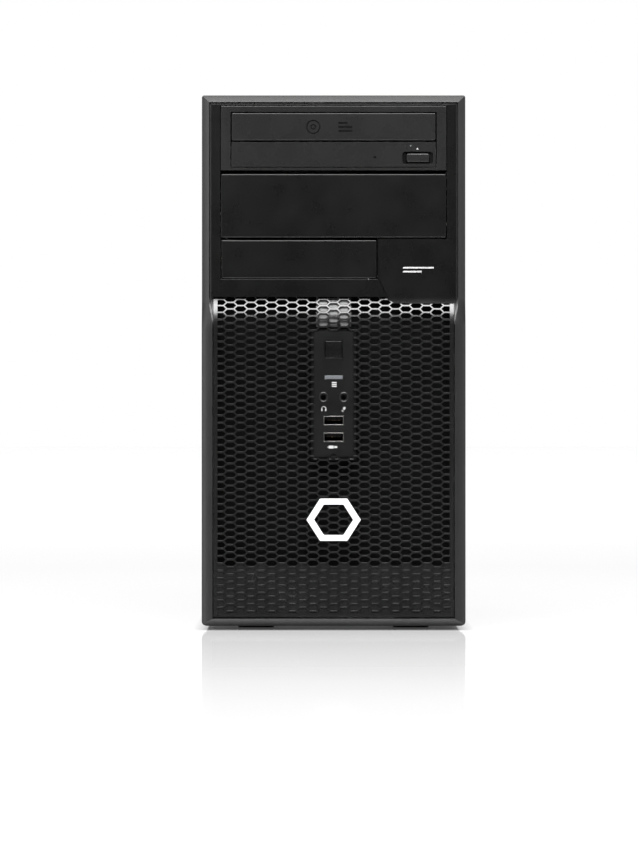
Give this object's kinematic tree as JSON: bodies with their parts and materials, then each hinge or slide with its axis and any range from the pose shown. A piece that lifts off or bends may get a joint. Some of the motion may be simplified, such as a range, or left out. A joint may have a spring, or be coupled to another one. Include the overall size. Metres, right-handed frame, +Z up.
{
  "type": "desktop computer tower",
  "caption": "Compact upright computer case with a black moulded front, hexagon mesh grille, disc drive, removable side panel, power supply, motherboard, fans and drives inside.",
  "frame": {"origin": "on the floor under the middle of the case", "axes": "+Z up, -Y the front with the bezel, +Y the back with the ports, -X the removable side panel, +X the motherboard side"},
  "size_m": [0.175, 0.419, 0.3548],
  "materials": {
    "black_satin": "satin moulded black",
    "black_matt": "matt black",
    "zinc_steel": "zinc plated sheet",
    "painted_steel": "fine textured black paint",
    "bright_steel": "nickel plated",
    "aluminium": "cast and extruded",
    "board_green": "solder mask",
    "white_plastic": "white insert",
    "light_lens": "smoke grey light pipe",
    "rubber": "soft black",
    "lead_black": "braided sleeve",
    "lead_red": "flexible jacket"
  },
  "bodies": {
    "case": {"bay_cover_35": "black_satin", "bay_cover_525": "black_satin", "chassis_floor": "zinc_steel", "chassis_top": "painted_steel", "cpu_fan_frame": "black_matt", "cpu_heatsink": "aluminium", "drive_cage": "zinc_steel", "drive_data_lead": "lead_red", "foot_front_left": "rubber", "foot_front_right": "rubber", "foot_rear_left": "rubber", "foot_rear_right": "rubber", "front_badge": "white_plastic", "front_bezel": "black_satin", "front_grille": "black_satin", "front_io_board": "board_green", "front_panel_lead": "lead_black", "front_plate": "zinc_steel", "hard_disk": "aluminium", "hdd_cage": "zinc_steel", "headphone_jack": "black_matt", "io_panel": "black_matt", "main_power_lead": "lead_black", "memory_module_1": "board_green", "memory_module_2": "board_green", "memory_socket_1": "black_matt", "memory_socket_2": "black_matt", "microphone_jack": "black_matt", "motherboard": "board_green", "motherboard_tray": "zinc_steel", "odd_bezel_frame": "black_satin", "odd_housing": "zinc_steel", "odd_lower_panel": "black_satin", "pcie_x16_slot": "black_matt", "pcie_x1_slot": "black_matt", "psu_case": "zinc_steel", "psu_inlet": "black_matt", "rear_fan_frame": "black_matt", "rear_panel": "zinc_steel", "rear_ports": "bright_steel", "right_side_panel": "painted_steel", "slot_cover_1": "zinc_steel", "slot_cover_2": "zinc_steel", "slot_cover_3": "zinc_steel", "slot_cover_4": "zinc_steel", "status_light": "light_lens", "usb_port_lower": "bright_steel", "usb_port_upper": "bright_steel"},
    "power_button": {"power_button": "black_satin"},
    "odd_tray": {"odd_tray": "black_matt", "odd_tray_front": "black_satin"},
    "odd_turntable": {"odd_turntable": "black_matt"},
    "odd_eject_button": {"odd_eject_button": "black_satin"},
    "psu_fan_rotor": {"psu_fan_rotor": "black_matt"},
    "psu_switch": {"psu_switch_rocker": "black_matt"},
    "rear_fan_rotor": {"rear_fan_rotor": "black_matt"},
    "cpu_fan_rotor": {"cpu_fan_rotor": "black_matt"},
    "left_side_panel": {"left_side_panel": "painted_steel", "thumbscrew_upper": "zinc_steel", "thumbscrew_lower": "zinc_steel"}
  },
  "joints": [
    {"name": "power_button_press", "type": "slide", "parent": "case", "child": "power_button", "axis": [0, 1, 0], "range_m": [0, 0.0015], "stiffness_N_per_m": 400},
    {"name": "eject_button_press", "type": "slide", "parent": "case", "child": "odd_eject_button", "axis": [0, 1, 0], "range_m": [0, 0.001], "stiffness_N_per_m": 400},
    {"name": "disc_tray_slide", "type": "slide", "parent": "case", "child": "odd_tray", "axis": [0, -1, 0], "range_m": [0, 0.14]},
    {"name": "turntable_spin", "type": "hinge", "parent": "case", "child": "odd_turntable", "pos_m": [0, -0.1325, 0.3224], "axis": [0, 0, 1], "continuous": true},
    {"name": "psu_fan_spin", "type": "hinge", "parent": "case", "child": "psu_fan_rotor", "pos_m": [-0.028, 0.1847, 0.3055], "axis": [0, 1, 0], "continuous": true},
    {"name": "rear_fan_spin", "type": "hinge", "parent": "case", "child": "rear_fan_rotor", "pos_m": [-0.031, 0.1832, 0.192], "axis": [0, 1, 0], "continuous": true},
    {"name": "cpu_fan_spin", "type": "hinge", "parent": "case", "child": "cpu_fan_rotor", "pos_m": [0.0193, 0.092, 0.19], "axis": [-1, 0, 0], "continuous": true},
    {"name": "psu_switch_rock", "type": "hinge", "parent": "case", "child": "psu_switch", "pos_m": [0.046, 0.1957, 0.324], "axis": [1, 0, 0], "range_deg": [-8, 8]},
    {"name": "side_panel_slide", "type": "slide", "parent": "case", "child": "left_side_panel", "axis": [0, 1, 0], "range_m": [0, 0.02]}
  ]
}
